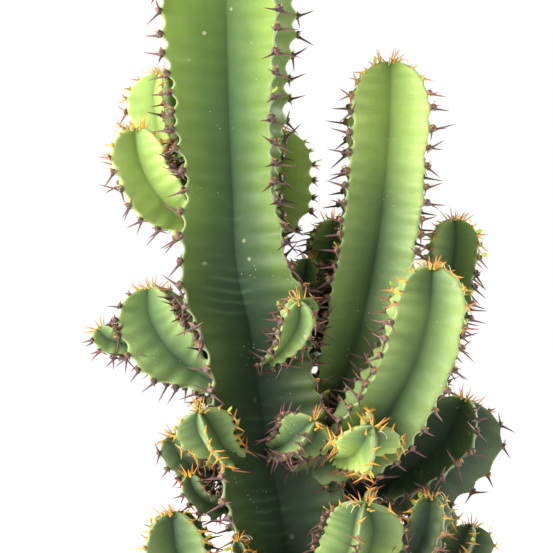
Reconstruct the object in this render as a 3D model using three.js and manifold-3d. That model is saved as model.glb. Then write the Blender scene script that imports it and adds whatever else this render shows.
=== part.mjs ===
// A candelabra euphorbia in a round clay pot: a four-ribbed trunk with many four-ribbed arms
// that leave it sideways and turn up, standing in potting soil. Millimetres and degrees, +Z up.
// The origin is the centre of the pot's underside. Headings turn from +X towards +Y; the front is -Y.
import * as THREE from 'three';
import { mergeVertices } from 'three/addons/utils/BufferGeometryUtils.js';
import Module from 'manifold-3d';

const wasm = await Module();
wasm.setup();

// ---- driving dimensions ----

const GAP = 0.3; // clearance between pieces that touch

const POT = {
  height: 165,
  baseRadius: 66,
  bodyTopRadius: 86,
  rimRadius: 95,
  rimBand: 26,
  wall: 6,
  floor: 6,
  edge: 3,
  sides: 48,
};
const DRAIN = { count: 3, radius: 5, circle: 34, sides: 16, firstHeading: 90 };
const SOIL = { edgeLevel: 147, crownLevel: 152, crownRadius: 40 };

const RIBS = 4;
const TRUNK_RIB_STEPS = [0, 0.4, 0.85]; // share of the way from valley to crest
const ARM_RIB_STEPS = [0, 0.5];
const VALLEY_SHARE = 0.36; // valley radius over crest radius
const CREST_EDGE = 2.0; // half thickness of a rib just inside its crest
const FACE_HOLLOW = 1.45; // above 1 the faces between crest and valley are hollow
const DOME_DEPTH = 0.85; // length of the rounded tip over the crest radius
const DOME_STEPS = [0.12, 0.45, 1];
const RING_SPACING = 12;
const TRUNK_RING_SPACING = 13;
const LEAST_RINGS = 5;

// The trunk: its axis, and by height the crest radius and the heading of the first rib.
const TRUNK = {
  name: 'trunk',
  axis: [
    [0, 0, 122], [-3, 0, 150], [-14, 0, 215], [-24, 0, 266], [-32, 0, 316],
    [-36, 0, 366], [-37, 0, 441], [-37, 0, 520], [-37, 0, 600],
  ],
  crestByHeight: [
    [122, 24], [150, 27], [185, 34], [212, 32], [244, 43], [272, 39], [305, 37], [341, 42],
    [366, 36], [400, 31], [441, 36], [482, 42], [520, 40], [560, 36], [600, 34],
  ],
  headingByHeight: [[122, -120], [320, -120], [366, -140], [441, -150], [600, -156]],
  ribReach: [1, 1, 0.8, 0.68], // the two ribs at the back stand out less
  color: 0x3f6b35,
};

// Each arm leaves its parent's axis at a height, sets out level along a heading, and ends upright
// at a tip that lies reach away from the axis and rise above where it began. An offset that grows
// on a rib starts that far from the axis.
const ARMS = [
  { name: 'arm_right_tall', height: 262, heading: 4, reach: 64, rise: 198, crest: 27, facing: 45 },
  { name: 'arm_right_front', height: 258, heading: -30, reach: 93, rise: 100, crest: 24, facing: 45 },
  { name: 'arm_right_back', height: 250, heading: 21, reach: 103, rise: 133, crest: 17, facing: 45 },
  {
    name: 'arm_right_low_broad', height: 238, heading: -1,
    reach: 97, rise: 54, crest: 26, facing: -75, fullAt: 0.85,
  },
  {
    name: 'arm_front_pale', parent: 'arm_right_front', height: 268, heading: -74, start: 11,
    reach: 50, rise: 15, crest: 15, facing: 2, lean: 48, leanHeading: -100,
  },
  {
    name: 'arm_front_low', height: 190, heading: -58, start: 10,
    reach: 66, rise: 55, crest: 19, facing: -14, lean: 48, leanHeading: -105,
  },
  {
    name: 'arm_right_low_small', height: 188, heading: -31,
    reach: 79, rise: 59, crest: 12, facing: 30,
  },
  { name: 'arm_right_low_outer', height: 182, heading: 3, reach: 90, rise: 46, crest: 13, facing: 0 },
  {
    name: 'offset_crook_front', height: 318, heading: -54, start: 20,
    reach: 46, rise: 23, crest: 11, facing: 42, lean: 42, leanHeading: -110,
  },
  {
    name: 'offset_front_star', height: 272, heading: -62, start: 24,
    reach: 58, rise: 12, crest: 13.5, facing: 60, lean: 66, leanHeading: -105,
  },
  { name: 'arm_crook_short', height: 322, heading: 24, reach: 35, rise: 40, crest: 12, facing: 30 },
  { name: 'arm_crook_back', height: 300, heading: 45, reach: 60, rise: 82, crest: 15, facing: 45 },
  { name: 'arm_back_pale', height: 340, heading: 69, reach: 45, rise: 90, crest: 20, facing: 0 },
  {
    name: 'arm_left_high_back', height: 380, heading: 132,
    reach: 59, rise: 78, crest: 19, facing: -90,
  },
  { name: 'arm_left_high', height: 376, heading: 180, reach: 51, rise: 51, crest: 19, facing: 45 },
  { name: 'arm_left_middle', height: 300, heading: 157, reach: 56, rise: 47, crest: 22, facing: 30 },
  {
    name: 'offset_left_outer', parent: 'arm_left_middle', height: 317, heading: 178,
    reach: 38, rise: 10, crest: 10, facing: 45,
  },
  {
    name: 'offset_left_front', height: 268, heading: -122, start: 26,
    reach: 56, rise: 20, crest: 14, facing: 14, lean: 56, leanHeading: -100,
  },
  {
    name: 'offset_left_upper', height: 255, heading: -162, start: 16,
    reach: 48, rise: 20, crest: 10, facing: 30,
  },
  {
    name: 'offset_left_lower', height: 239, heading: -152, start: 20,
    reach: 46, rise: 17, crest: 8, facing: 45,
  },
  { name: 'arm_left_low', height: 172, heading: -160, reach: 65, rise: 66, crest: 20, facing: 45 },
  {
    name: 'bud_left_low', height: 215, heading: -120, start: 24,
    reach: 43, rise: 10, crest: 4, facing: 45,
  },
  { name: 'arm_back_middle', height: 262, heading: 98, reach: 76, rise: 110, crest: 21, facing: 45 },
  { name: 'arm_back_low', height: 190, heading: 95, reach: 80, rise: 62, crest: 18, facing: 0 },
  { name: 'arm_back_right_low', height: 205, heading: 58, reach: 82, rise: 72, crest: 18, facing: 45 },
  { name: 'arm_right_back_low', height: 186, heading: 28, reach: 84, rise: 52, crest: 15, facing: 20 },
  { name: 'arm_left_back_low', height: 176, heading: 160, reach: 58, rise: 30, crest: 14, facing: 45 },
  { name: 'arm_front_lowest', height: 172, heading: -98, reach: 58, rise: 32, crest: 15, facing: 45 },
];
const ARM_START = 5;
const ARM_SWEEP = 0.6; // how much of the reach an arm goes level before it turns up
const ARM_UPRIGHT = 0.5; // how much of the rise it ends straight up
const ARM_NECK = 0.3; // crest radius over full crest radius where the arm leaves the axis
const ARM_FULL_AT = 0.45; // share of its length at which it has its full crest radius
const YOUNG_GREEN = new THREE.Color(0x86b35a);
const OLD_GREEN = new THREE.Color(0x47713f);
const YOUNG_HEIGHT = 440;
const OLD_HEIGHT = 220;

// ---- solids ----

function toSolid(geometry) {
  const bare = geometry.clone();
  bare.deleteAttribute('normal');
  bare.deleteAttribute('uv');
  const merged = mergeVertices(bare, 1e-4);
  return new wasm.Manifold(new wasm.Mesh({
    numProp: 3,
    vertProperties: new Float32Array(merged.attributes.position.array),
    triVerts: new Uint32Array(merged.index.array),
  }));
}

function toGeometry(solid) {
  const mesh = solid.getMesh();
  const geometry = new THREE.BufferGeometry();
  geometry.setAttribute('position', new THREE.BufferAttribute(mesh.vertProperties, 3));
  geometry.setIndex(new THREE.BufferAttribute(mesh.triVerts, 1));
  geometry.computeVertexNormals();
  return geometry;
}

function largestPiece(solid) {
  const pieces = solid.decompose();
  return pieces.reduce((best, piece) => (piece.volume() > best.volume() ? piece : best));
}

function boxesMeet(a, b) {
  const boxA = a.boundingBox();
  const boxB = b.boundingBox();
  return [0, 1, 2].every((k) => boxA.min[k] < boxB.max[k] && boxB.min[k] < boxA.max[k]);
}

// ---- ribbed stems ----

// Straight-line value at x in a list of [x, value] pairs, eased at each pair.
function eased(pairs, x) {
  if (x <= pairs[0][0]) {
    return pairs[0][1];
  }
  for (let k = 1; k < pairs.length; k += 1) {
    if (x <= pairs[k][0]) {
      const share = (x - pairs[k - 1][0]) / (pairs[k][0] - pairs[k - 1][0]);
      return THREE.MathUtils.lerp(pairs[k - 1][1], pairs[k][1], share * share * (3 - 2 * share));
    }
  }
  return pairs[pairs.length - 1][1];
}

// The outline of a ribbed section as 2-D points, turning from valley to crest to valley.
function ribOutline(crest, heading, ribReach, steps) {
  const corner = crest * VALLEY_SHARE * Math.SQRT1_2;
  const edge = Math.min(CREST_EDGE, corner * 0.6);
  const outline = [];
  for (let rib = 0; rib < RIBS; rib += 1) {
    const along = new THREE.Vector2(1, 0).rotateAround(
      new THREE.Vector2(),
      THREE.MathUtils.degToRad(heading + (360 / RIBS) * rib),
    );
    const across = new THREE.Vector2(-along.y, along.x);
    const reach = crest * ribReach[rib];
    const place = (share, side) => {
      const out = corner + (reach - corner) * share;
      const half = edge + (corner - edge) * (1 - share) ** FACE_HOLLOW;
      return along.clone().multiplyScalar(out).addScaledVector(across, side * half);
    };
    steps.forEach((share) => outline.push(place(share, -1)));
    outline.push(along.clone().multiplyScalar(reach));
    steps.slice(1).reverse().forEach((share) => outline.push(place(share, 1)));
  }
  return outline;
}

// The same outline moved outwards by a distance, along the mean normal at each point.
function grown(outline, distance) {
  return outline.map((point, k) => {
    const before = outline[(k + outline.length - 1) % outline.length];
    const after = outline[(k + 1) % outline.length];
    const inNormal = new THREE.Vector2(point.y - before.y, before.x - point.x).normalize();
    const outNormal = new THREE.Vector2(after.y - point.y, point.x - after.x).normalize();
    const normal = inNormal.clone().add(outNormal).normalize();
    const mitre = Math.max(normal.dot(inNormal), 0.4);
    return point.clone().addScaledVector(normal, distance / mitre);
  });
}

// A closed ribbed stem along a curve. crestAt(share, height) gives the crest radius and
// headingAt(height) the first rib's heading; the tip is a dome that closes on one point.
function ribbedStem({ curve, spacing, crestAt, headingAt, ribReach, steps }, clearance) {
  const length = curve.getLength();
  const tipCrest = crestAt(1, curve.getPoint(1).z);
  const dome = Math.min(DOME_DEPTH * tipCrest, length * 0.5);
  const domeStart = length - dome;
  const bodyRings = Math.max(LEAST_RINGS, Math.round(domeStart / spacing));
  const stations = [];
  for (let k = 0; k < bodyRings; k += 1) {
    stations.push({ at: (domeStart * k) / bodyRings, scale: 1 });
  }
  [...DOME_STEPS].reverse().forEach((share) => {
    stations.push({ at: length - dome * share, scale: Math.sqrt(1 - (1 - share) ** 2) });
  });

  // A frame that turns as little as possible is carried from the tip down to the base.
  let tangent = curve.getTangentAt(1);
  const side = new THREE.Vector3(1, 0, 0);
  side.addScaledVector(tangent, -side.dot(tangent)).normalize();
  const rings = [...stations].reverse().map(({ at, scale }) => {
    const share = at / length;
    const next = curve.getTangentAt(share);
    side.applyQuaternion(new THREE.Quaternion().setFromUnitVectors(tangent, next));
    side.addScaledVector(next, -side.dot(next)).normalize();
    tangent = next;
    const up = new THREE.Vector3().crossVectors(next, side);
    const centre = curve.getPointAt(share);
    const outline = ribOutline(crestAt(share, centre.z) * scale, headingAt(centre.z), ribReach, steps);
    return grown(outline, clearance).map((point) => (
      centre.clone().addScaledVector(side, point.x).addScaledVector(up, point.y)
    ));
  }).reverse();

  const around = rings[0].length;
  const base = curve.getPointAt(0);
  const tip = curve.getPointAt(1).addScaledVector(curve.getTangentAt(1), clearance);
  const positions = [...rings.flat(), base, tip].flatMap((point) => point.toArray());
  const baseIndex = rings.length * around;
  const tipIndex = baseIndex + 1;
  const faces = [];
  for (let k = 0; k < around; k += 1) {
    const next = (k + 1) % around;
    faces.push(baseIndex, next, k);
    for (let ring = 0; ring < rings.length - 1; ring += 1) {
      const low = ring * around;
      const high = low + around;
      faces.push(low + k, low + next, high + next);
      faces.push(low + k, high + next, high + k);
    }
    const last = (rings.length - 1) * around;
    faces.push(last + k, last + next, tipIndex);
  }
  const geometry = new THREE.BufferGeometry();
  geometry.setAttribute('position', new THREE.Float32BufferAttribute(positions, 3));
  geometry.setIndex(faces);
  return geometry;
}

function trunkStem() {
  return {
    curve: new THREE.CatmullRomCurve3(TRUNK.axis.map((point) => new THREE.Vector3(...point))),
    spacing: TRUNK_RING_SPACING,
    crestAt: (share, height) => eased(TRUNK.crestByHeight, height),
    headingAt: (height) => eased(TRUNK.headingByHeight, height),
    ribReach: TRUNK.ribReach,
    steps: TRUNK_RIB_STEPS,
  };
}

// The first point of a stem's axis that lies at or above a height.
function axisPoint(stem, height) {
  const samples = stem.curve.getSpacedPoints(400);
  return samples.find((point) => point.z >= height);
}

// The way a stem's tip points: straight up, or leaning by some degrees towards a heading.
function tipWay({ lean = 0, leanHeading = 0 }) {
  const tilt = THREE.MathUtils.degToRad(lean);
  const heading = THREE.MathUtils.degToRad(leanHeading);
  const level = new THREE.Vector3(Math.cos(heading), Math.sin(heading), 0);
  return level.multiplyScalar(Math.sin(tilt)).setZ(Math.cos(tilt));
}

function armStem(arm, parentStem) {
  const heading = THREE.MathUtils.degToRad(arm.heading);
  const out = new THREE.Vector3(Math.cos(heading), Math.sin(heading), 0);
  const up = new THREE.Vector3(0, 0, 1);
  const start = arm.start ?? ARM_START;
  const root = axisPoint(parentStem, arm.height).addScaledVector(out, start);
  const span = arm.reach - start;
  const tip = root.clone().addScaledVector(out, span).addScaledVector(up, arm.rise);
  const level = root.clone().addScaledVector(out, span * ARM_SWEEP);
  const below = tip.clone().addScaledVector(tipWay(arm), -arm.rise * ARM_UPRIGHT);
  return {
    curve: new THREE.CubicBezierCurve3(root, level, below, tip),
    spacing: RING_SPACING,
    crestAt: (share) => arm.crest * eased([[0, ARM_NECK], [arm.fullAt ?? ARM_FULL_AT, 1]], share),
    headingAt: () => arm.facing,
    ribReach: Array(RIBS).fill(1),
    steps: ARM_RIB_STEPS,
  };
}

// ---- pot and soil ----

// Inner wall radius of the pot at a height.
function potInnerRadius(height) {
  const bodyTop = POT.height - POT.rimBand;
  const share = height / bodyTop;
  return THREE.MathUtils.lerp(POT.baseRadius, POT.bodyTopRadius, share) - POT.wall;
}

function lathe(points, sides) {
  const profile = points.map(([radius, height]) => new THREE.Vector2(radius, height));
  return new THREE.LatheGeometry(profile, sides).rotateX(Math.PI / 2);
}

function potSolid() {
  const bodyTop = POT.height - POT.rimBand;
  const shell = toSolid(lathe([
    [0, 0],
    [POT.baseRadius - POT.edge, 0],
    [POT.baseRadius, POT.edge],
    [POT.bodyTopRadius, bodyTop],
    [POT.rimRadius - POT.edge, bodyTop + POT.edge],
    [POT.rimRadius, POT.height - POT.edge],
    [POT.rimRadius - POT.edge, POT.height],
    [POT.rimRadius - POT.wall, POT.height],
    [potInnerRadius(POT.height), POT.height - POT.edge],
    [potInnerRadius(POT.floor), POT.floor],
    [0, POT.floor],
  ], POT.sides));
  let solid = shell;
  for (let k = 0; k < DRAIN.count; k += 1) {
    const heading = THREE.MathUtils.degToRad(DRAIN.firstHeading + (360 / DRAIN.count) * k);
    const drill = new THREE.CylinderGeometry(DRAIN.radius, DRAIN.radius, POT.floor * 4, DRAIN.sides)
      .rotateX(Math.PI / 2)
      .translate(DRAIN.circle * Math.cos(heading), DRAIN.circle * Math.sin(heading), 0);
    solid = solid.subtract(toSolid(drill));
  }
  return solid;
}

function soilSolid(trunkSpace) {
  const bottom = POT.floor + GAP;
  const block = toSolid(lathe([
    [0, bottom],
    [potInnerRadius(bottom) - GAP, bottom],
    [potInnerRadius(SOIL.edgeLevel) - GAP, SOIL.edgeLevel],
    [SOIL.crownRadius, SOIL.crownLevel - 1],
    [0, SOIL.crownLevel],
  ], POT.sides));
  return block.subtract(trunkSpace);
}

// ---- assembly ----

const plant = new THREE.Group();
plant.name = 'potted_candelabra_euphorbia';

function addPiece(name, solid, color, roughness) {
  const material = new THREE.MeshStandardMaterial({ color, roughness, metalness: 0 });
  const mesh = new THREE.Mesh(toGeometry(solid), material);
  mesh.name = name;
  plant.add(mesh);
}

const stems = new Map([[TRUNK.name, trunkStem()]]);
const spaces = [toSolid(ribbedStem(stems.get(TRUNK.name), GAP))];

addPiece('pot', potSolid(), 0xb06a48, 0.85);
addPiece('potting_soil', soilSolid(spaces[0]), 0x3a2e26, 0.95);
addPiece(TRUNK.name, toSolid(ribbedStem(stems.get(TRUNK.name), 0)), TRUNK.color, 0.5);

for (const arm of ARMS) {
  const stem = armStem(arm, stems.get(arm.parent ?? TRUNK.name));
  stems.set(arm.name, stem);
  const whole = toSolid(ribbedStem(stem, 0));
  const trimmed = spaces
    .filter((space) => boxesMeet(space, whole))
    .reduce((left, space) => left.subtract(space), whole);
  spaces.push(toSolid(ribbedStem(stem, GAP)));
  const age = THREE.MathUtils.inverseLerp(YOUNG_HEIGHT, OLD_HEIGHT, arm.height + arm.rise);
  const color = YOUNG_GREEN.clone().lerp(OLD_GREEN, THREE.MathUtils.clamp(age, 0, 1));
  addPiece(arm.name, largestPiece(trimmed), color, 0.5);
}

export default plant;
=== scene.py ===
"""A candelabra euphorbia in a clay pot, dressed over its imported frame.

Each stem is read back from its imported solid: the rings of vertices below the tip give the
stem's axis, the headings of its ribs, and its crest and valley radii. The fine skin, the horny
shields, the spines and the dried flowers are laid along the same ribs. Metres throughout.
"""

import logging
import math
from dataclasses import dataclass, field
from enum import Enum

import bpy
import numpy as np
from mathutils import Matrix, Vector, noise
from mathutils.bvhtree import BVHTree


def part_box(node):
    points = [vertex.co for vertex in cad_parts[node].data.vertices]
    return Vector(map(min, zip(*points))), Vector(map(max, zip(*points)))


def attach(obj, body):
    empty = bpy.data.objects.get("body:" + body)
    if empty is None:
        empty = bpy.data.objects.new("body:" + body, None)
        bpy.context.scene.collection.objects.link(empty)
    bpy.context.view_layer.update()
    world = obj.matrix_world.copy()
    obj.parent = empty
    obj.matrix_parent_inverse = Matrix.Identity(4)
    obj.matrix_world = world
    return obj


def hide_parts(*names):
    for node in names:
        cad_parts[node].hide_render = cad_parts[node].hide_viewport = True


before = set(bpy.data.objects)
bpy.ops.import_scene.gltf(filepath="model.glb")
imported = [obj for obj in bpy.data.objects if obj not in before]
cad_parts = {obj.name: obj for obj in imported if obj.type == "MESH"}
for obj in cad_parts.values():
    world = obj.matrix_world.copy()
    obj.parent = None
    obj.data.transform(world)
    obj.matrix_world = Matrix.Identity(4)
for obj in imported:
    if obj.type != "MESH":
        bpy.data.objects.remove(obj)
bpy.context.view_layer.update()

LOG = logging.getLogger("euphorbia")
MM = 0.001
RIBS = 4
BODY = "root"
Color = tuple[float, float, float, float]


class Slot(Enum):
    """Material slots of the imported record."""

    CLAY = "fired_clay"
    SOIL = "soil"
    TRUNK = "trunk_skin"
    ARM = "arm_skin"
    SPINE = "spine"
    LEAFLET = "leaflet"
    GRIT = "grit"


# ---- small tools ----


def deselect() -> None:
    """Leaves edit mode and deselects every object."""
    if bpy.context.object and bpy.context.object.mode != "OBJECT":
        bpy.ops.object.mode_set(mode="OBJECT")
    bpy.ops.object.select_all(action="DESELECT")


def take(piece: bpy.types.Object) -> None:
    """Makes one object the only selected and the active one.

    Args:
        piece: The object to work on.
    """
    deselect()
    piece.select_set(True)
    bpy.context.view_layer.objects.active = piece


def weld(piece: bpy.types.Object, distance: float = 0.002 * MM) -> None:
    """Merges doubled vertices, removes faces with no area and points the rest outwards.

    Args:
        piece: The mesh object to close.
        distance: How near two vertices are when they count as one.
    """
    take(piece)
    bpy.ops.object.mode_set(mode="EDIT")
    bpy.ops.mesh.select_all(action="SELECT")
    bpy.ops.mesh.remove_doubles(threshold=distance)
    bpy.ops.mesh.dissolve_degenerate(threshold=distance)
    bpy.ops.mesh.select_all(action="SELECT")
    bpy.ops.mesh.normals_make_consistent(inside=False)
    bpy.ops.object.mode_set(mode="OBJECT")
    bpy.ops.object.shade_smooth()


def write_attribute(mesh: bpy.types.Mesh, name: str, values: np.ndarray) -> None:
    """Stores one number per vertex, for a material to read.

    Args:
        mesh: The mesh that gets the attribute.
        name: The attribute's name.
        values: One value per vertex.
    """
    layer = mesh.attributes.new(name=name, type="FLOAT", domain="POINT")
    layer.data.foreach_set("value", np.asarray(values, np.float32).ravel())


def rolled_sheet(name: str, places: np.ndarray, facts: dict[str, np.ndarray]) -> bpy.types.Object:
    """Rolls a flat grid into a closed skin.

    The first and the last column of places coincide, and so do all the places of the first row
    and of the last row, so that welding closes the seam and both ends.

    Args:
        name: The new piece's name.
        places: Vertex places as rows by columns by three.
        facts: Attributes to store, each as rows by columns.

    Returns:
        The closed piece.
    """
    rows, columns = places.shape[:2]
    deselect()
    bpy.ops.mesh.primitive_grid_add(x_subdivisions=columns - 1, y_subdivisions=rows - 1, size=1)
    piece = bpy.context.object
    piece.name = name
    piece.data.name = name
    piece.data.vertices.foreach_set("co", places.reshape(-1).astype(np.float32))
    for fact, values in facts.items():
        write_attribute(piece.data, fact, values)
    piece.data.update()
    weld(piece)
    return piece


def flowing(known: np.ndarray, values: np.ndarray, at: np.ndarray) -> np.ndarray:
    """Smooth curve through known values, read at new places.

    Args:
        known: Rising places of the known values.
        values: Values at those places, as rows.
        at: Places to read.

    Returns:
        One row for each place.
    """
    flat = values.reshape(len(known), -1)
    slopes = np.gradient(flat, known, axis=0)
    left = np.clip(np.searchsorted(known, at, side="right") - 1, 0, len(known) - 2)
    span = (known[left + 1] - known[left])[:, None]
    t = (np.clip(at, known[0], known[-1]) - known[left])[:, None] / span
    bend = (
        (1 + 2 * t) * (1 - t) ** 2 * flat[left]
        + t * (1 - t) ** 2 * span * slopes[left]
        + t**2 * (3 - 2 * t) * flat[left + 1]
        - t**2 * (1 - t) * span * slopes[left + 1]
    )
    return bend.reshape((len(at), *values.shape[1:]))


def unit(vectors: np.ndarray) -> np.ndarray:
    """Scales vectors to length one along their last axis."""
    return vectors / np.linalg.norm(vectors, axis=-1, keepdims=True)


def ease(x: np.ndarray, low: float, high: float) -> np.ndarray:
    """Rises smoothly from 0 at low to 1 at high."""
    t = np.clip((x - low) / (high - low), 0, 1)
    return t * t * (3 - 2 * t)


# ---- materials ----


class Board:
    """A node tree with short ways to add and join nodes."""

    def __init__(self, tree: bpy.types.NodeTree) -> None:
        """Starts on an emptied tree.

        Args:
            tree: The node tree to fill.
        """
        self.tree = tree
        tree.nodes.clear()

    def node(self, kind: str, inputs: dict | None = None, **settings: object) -> bpy.types.Node:
        """Adds one node.

        Args:
            kind: The node's type name.
            inputs: Values or sockets by input name or number.
            **settings: Properties of the node.

        Returns:
            The new node.
        """
        made = self.tree.nodes.new(kind)
        for name, value in settings.items():
            setattr(made, name, value)
        for key, value in (inputs or {}).items():
            if isinstance(value, bpy.types.NodeSocket):
                self.tree.links.new(value, made.inputs[key])
            else:
                made.inputs[key].default_value = value
        return made

    def math(self, operation: str, *values: object) -> bpy.types.NodeSocket:
        """Adds a Math node and gives its output."""
        made = self.node("ShaderNodeMath", dict(enumerate(values)), operation=operation)
        return made.outputs[0]

    def mix(self, share: object, a: object, b: object, blend: str = "MIX") -> bpy.types.NodeSocket:
        """Adds a colour Mix node and gives its output.

        Args:
            share: How much of b shows.
            a: The first colour.
            b: The second colour.
            blend: How they are mixed.

        Returns:
            The mixed colour.
        """
        made = self.node("ShaderNodeMix", data_type="RGBA", blend_type=blend)
        for key, value in ((0, share), (6, a), (7, b)):
            if isinstance(value, bpy.types.NodeSocket):
                self.tree.links.new(value, made.inputs[key])
            else:
                made.inputs[key].default_value = value
        return made.outputs[2]

    def shaded(self, color: object, tone: bpy.types.NodeSocket, share: float) -> bpy.types.NodeSocket:
        """Multiplies a colour by a grey tone.

        Args:
            color: The colour to shade.
            tone: How bright it stays, 1 being unchanged.
            share: How much of the shading shows.

        Returns:
            The shaded colour.
        """
        grey = self.node("ShaderNodeCombineColor", {0: tone, 1: tone, 2: tone}).outputs[0]
        return self.mix(share, color, grey, "MULTIPLY")

    def step(self, value: object, low: float, high: float) -> bpy.types.NodeSocket:
        """Adds a smooth step from 0 at low to 1 at high and gives its output."""
        made = self.node(
            "ShaderNodeMapRange",
            {0: value, 1: low, 2: high, 3: 0.0, 4: 1.0},
            interpolation_type="SMOOTHSTEP",
        )
        return made.outputs[0]

    def attribute(self, name: str) -> bpy.types.NodeSocket:
        """Reads one of the piece's own attributes."""
        return self.node("ShaderNodeAttribute", attribute_name=name).outputs["Fac"]

    def place(self) -> bpy.types.NodeSocket:
        """Gives Object coordinates."""
        return self.node("ShaderNodeTexCoord").outputs["Object"]

    def noise(self, scale: float, detail: float = 3.0, rough: float = 0.55) -> bpy.types.NodeSocket:
        """Adds noise on Object coordinates and gives its value.

        Args:
            scale: Noise cells per metre.
            detail: Octaves.
            rough: Strength of the finer octaves.

        Returns:
            The noise value.
        """
        inputs = {"Vector": self.place(), "Scale": scale, "Detail": detail, "Roughness": rough}
        return self.node("ShaderNodeTexNoise", inputs).outputs["Fac"]

    def cells(self, scale: float) -> bpy.types.NodeSocket:
        """Adds Voronoi cells on Object coordinates and gives the distance to the nearest point."""
        inputs = {"Vector": self.place(), "Scale": scale}
        return self.node("ShaderNodeTexVoronoi", inputs).outputs["Distance"]


def blank_material(name: str) -> tuple[bpy.types.Material, Board]:
    """Makes a material whose node tree is still empty.

    Args:
        name: The material's name.

    Returns:
        The material and a board over its tree.
    """
    made = bpy.data.materials.new(name)
    made.use_nodes = True
    return made, Board(made.node_tree)


def rib_skin_group() -> bpy.types.NodeTree:
    """Makes the shared pattern of ribbed skin.

    It goes from young to old green by its age, which also holds painted shade low on the plant and
    painted light up high. It paints shade into the valleys and a highlight towards the crests, draws
    a pale line along each crest edge, and lays on the slanting veins, the growth bands, mottling,
    specks and scars.

    Returns:
        A node group with Color, Roughness and Height outputs.
    """
    group = bpy.data.node_groups.new("rib_skin", "ShaderNodeTree")
    sockets = group.interface
    for name in ("Young", "Mature", "Old", "Crest"):
        sockets.new_socket(name, in_out="INPUT", socket_type="NodeSocketColor")
    for name in ("Bands", "Veins", "Specks"):
        sockets.new_socket(name, in_out="INPUT", socket_type="NodeSocketFloat")
    sockets.new_socket("Color", in_out="OUTPUT", socket_type="NodeSocketColor")
    sockets.new_socket("Roughness", in_out="OUTPUT", socket_type="NodeSocketFloat")
    sockets.new_socket("Height", in_out="OUTPUT", socket_type="NodeSocketFloat")
    board = Board(group)
    given = board.node("NodeGroupInput").outputs
    # The age attribute holds real age together with painted shade low on the plant and painted light up
    # high.
    age = board.attribute("age")
    across = board.attribute("across")
    turn = board.attribute("tooth_turn")
    below = board.attribute("below_tip")

    drift = board.math("MULTIPLY_ADD", board.noise(22.0, 4.0), 0.34, -0.17)
    age_and_shade = board.math("ADD", age, drift)
    base = board.mix(board.step(age_and_shade, 0.0, 0.5), given["Young"], given["Mature"])
    base = board.mix(board.step(age_and_shade, 0.45, 1.0), base, given["Old"])

    inward = board.math("SUBTRACT", 1.0, across)
    # Painted shade: the colour darkens towards each valley in place of the shade in the crease, more on
    # older skin.
    valley_shade = board.math("POWER", inward, 3.0)
    valley_shade_strength = board.math("MULTIPLY_ADD", board.step(age_and_shade, 0.1, 0.6), 0.35, 0.45)
    base = board.mix(board.math("MULTIPLY", valley_shade, valley_shade_strength), base, (0.016, 0.036, 0.018, 1))
    # Painted highlight: the colour pales towards each crest, more on young skin, in place of the light that
    # falls there.
    crest_highlight = board.math("MULTIPLY", board.step(across, 0.3, 1.0), 0.42)
    crest_highlight = board.math("MULTIPLY", crest_highlight, board.math("SUBTRACT", 1.25, age_and_shade))
    base = board.mix(crest_highlight, base, given["Crest"])

    slant = board.math("MULTIPLY_ADD", inward, 0.85, turn)
    vein = board.math("SINE", board.math("MULTIPLY", slant, 2 * math.pi))
    vein = board.math("POWER", board.math("MULTIPLY_ADD", vein, 0.5, 0.5), 6.0)
    veined = board.math("MULTIPLY", vein, board.step(across, 0.08, 0.5))
    veined = board.math("MULTIPLY", veined, given["Veins"])
    patchy = board.step(board.noise(60.0, 2.0), 0.4, 0.65)
    veined = board.math("MULTIPLY", veined, patchy)
    base = board.mix(board.math("MULTIPLY", veined, 0.30), base, given["Crest"])

    arc = board.math("MULTIPLY_ADD", board.math("POWER", across, 2.0), 7.5 * MM, below)
    arc = board.math("ADD", arc, board.math("MULTIPLY", board.noise(40.0, 2.0), 6 * MM))
    band_gap = 5.8 * MM
    band = board.math("SINE", board.math("MULTIPLY", arc, 2 * math.pi / band_gap))
    band = board.math("POWER", board.math("MULTIPLY_ADD", band, 0.5, 0.5), 3.0)
    band = board.math("MULTIPLY", band, board.step(board.noise(34.0, 3.0), 0.46, 0.68))
    band = board.math("MULTIPLY", band, board.step(age_and_shade, 0.35, 0.85))
    band = board.math("MULTIPLY", band, board.step(inward, 0.02, 0.4))
    band = board.math("MULTIPLY", band, given["Bands"])
    base = board.mix(board.math("MULTIPLY", band, 0.30), base, (0.11, 0.18, 0.10, 1))

    blotch = board.math("MULTIPLY_ADD", board.noise(85.0, 5.0, 0.6), 0.5, 0.75)
    base = board.shaded(base, blotch, 0.75)
    pore = board.math("MULTIPLY_ADD", board.noise(900.0, 2.0), 0.36, 0.82)
    base = board.shaded(base, pore, 0.6)

    rare = board.step(board.noise(55.0, 1.0), 0.60, 0.66)
    speck = board.math("SUBTRACT", 1.0, board.step(board.cells(420.0), 0.06, 0.12))
    speck = board.math("MULTIPLY", board.math("MULTIPLY", speck, rare), given["Specks"])
    base = board.mix(speck, base, (0.62, 0.66, 0.52, 1))
    seldom = board.step(board.noise(16.0, 1.0), 0.63, 0.67)
    scar = board.math("SUBTRACT", 1.0, board.step(board.cells(95.0), 0.10, 0.17))
    scar = board.math("MULTIPLY", board.math("MULTIPLY", scar, seldom), given["Specks"])
    base = board.mix(board.math("MULTIPLY", scar, 0.8), base, (0.46, 0.44, 0.27, 1))

    edge = board.math("MULTIPLY", board.step(across, 0.965, 1.0), 0.6)
    base = board.mix(edge, base, (0.50, 0.56, 0.30, 1))

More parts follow.
